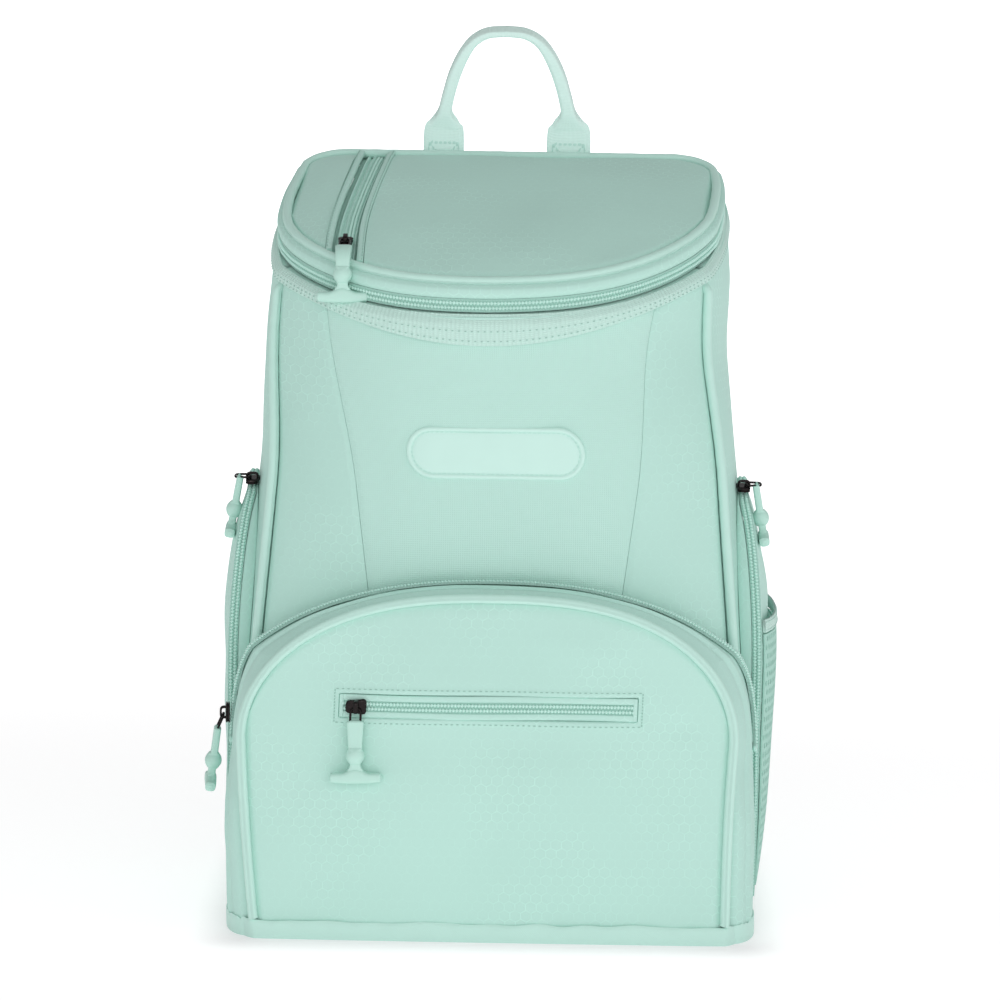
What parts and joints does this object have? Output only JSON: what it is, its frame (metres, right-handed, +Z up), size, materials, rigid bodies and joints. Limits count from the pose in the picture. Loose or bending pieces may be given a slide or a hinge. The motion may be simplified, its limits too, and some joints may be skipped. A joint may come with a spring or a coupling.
{
  "type": "cooler backpack",
  "caption": "Padded cooler backpack with a sloping zipped lid, an arched front pocket, side pockets, a net bottle pocket, a grab handle and shoulder straps.",
  "frame": {"origin": "centre of the base, on the floor", "axes": "+Z up, the front faces -Y, +X is the viewer's right when looking at the front"},
  "size_m": [0.3154, 0.2506, 0.4846],
  "materials": {
    "ripstop": "satin coated cloth with a faint honeycomb weave",
    "canvas": "matte plain weave",
    "binding": "smooth folded binding tape",
    "webbing": "ribbed webbing",
    "zip": "coil zip on woven tape",
    "metal": "dark polished nickel",
    "rubber": "soft moulded pull",
    "patch": "smooth moulded patch, bare",
    "net": "stretch net",
    "foam": "padded mesh cloth",
    "plastic": "moulded buckle"
  },
  "bodies": {
    "root": {"front_center_panel": "canvas", "front_side_panel_left": "ripstop", "side_panel_left": "ripstop", "body_piping_left": "binding", "front_side_panel_right": "ripstop", "side_panel_right": "ripstop", "body_piping_right": "binding", "back_panel": "foam", "front_pocket_face": "ripstop", "front_pocket_gusset": "ripstop", "front_pocket_piping": "binding", "front_pocket_zip": "zip", "slip_pocket_zip": "zip", "side_pocket_panel_left": "ripstop", "side_pocket_gusset_left": "ripstop", "side_pocket_zip_left": "zip", "side_pocket_panel_right": "ripstop", "side_pocket_gusset_right": "ripstop", "side_pocket_zip_right": "zip", "mesh_pocket": "net", "mesh_hem": "webbing", "base_panel": "ripstop", "base_binding": "binding", "lid_panel_main": "ripstop", "lid_panel_left": "ripstop", "lid_zip_welt_left": "ripstop", "lid_zip_welt_right": "ripstop", "lid_pocket_zip": "zip", "lid_piping": "binding", "lid_gusset": "ripstop", "main_zip": "zip", "collar_webbing": "webbing", "label_patch": "patch", "grab_handle": "webbing", "shoulder_strap_left": "foam", "shoulder_strap_right": "foam", "strap_buckle_left": "plastic", "strap_webbing_left": "webbing", "strap_buckle_right": "plastic", "strap_webbing_right": "webbing", "lid_pocket_slider": "metal", "lid_pocket_link": "metal", "lid_pocket_pull": "rubber", "front_pocket_slider": "metal", "front_pocket_link": "metal", "front_pocket_pull": "rubber", "slip_pocket_slider": "metal", "slip_pocket_link": "metal", "slip_pocket_pull": "rubber", "side_pocket_left_slider": "metal", "side_pocket_left_link": "metal", "side_pocket_left_pull": "rubber", "side_pocket_right_slider": "metal", "side_pocket_right_link": "metal", "side_pocket_right_pull": "rubber", "main_zip_slider": "metal", "main_zip_link": "metal", "main_zip_pull": "rubber"}
  },
  "joints": []
}
